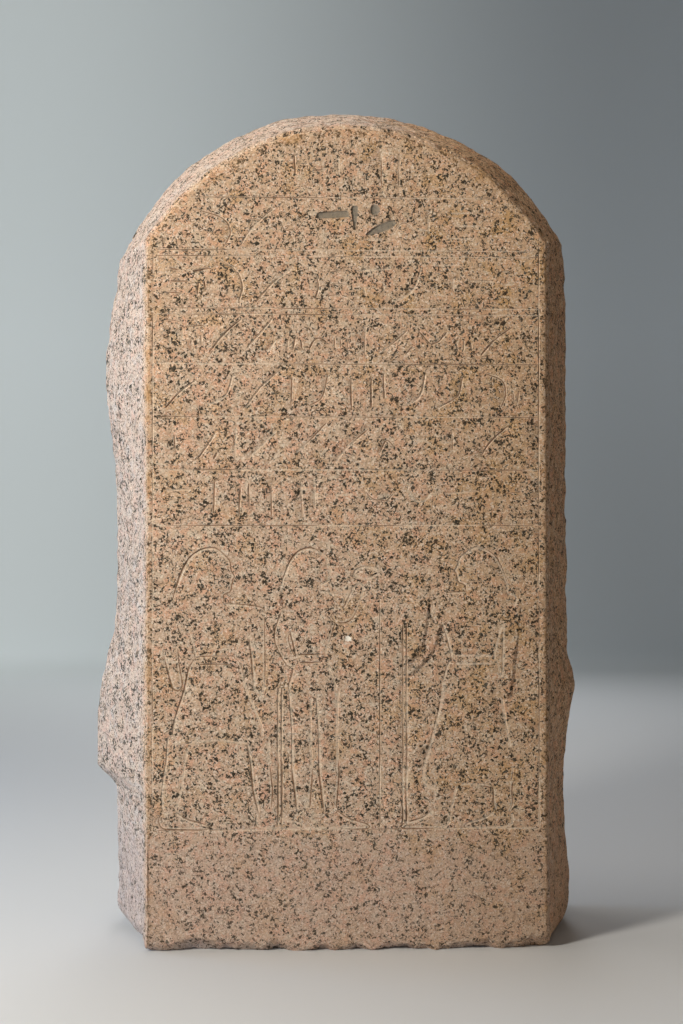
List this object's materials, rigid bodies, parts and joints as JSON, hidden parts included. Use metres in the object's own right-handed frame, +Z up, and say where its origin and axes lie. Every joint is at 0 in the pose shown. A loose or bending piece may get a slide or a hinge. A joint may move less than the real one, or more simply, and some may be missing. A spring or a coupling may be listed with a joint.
{
  "type": "carved stone stele",
  "caption": "Round-topped standing granite slab with a dressed, carved front and rough sides, top and back.",
  "frame": {"origin": "on the ground, under the middle of the slab's outer box", "axes": "+Z up, +X to the right of someone facing the carved front, carved front facing -Y"},
  "size_m": [1.2659, 0.42, 2.1399],
  "materials": {
    "granite": "coarse pink granite, dressed and worn on the front, rough elsewhere"
  },
  "bodies": {
    "root": {"stele": "granite"}
  },
  "joints": []
}
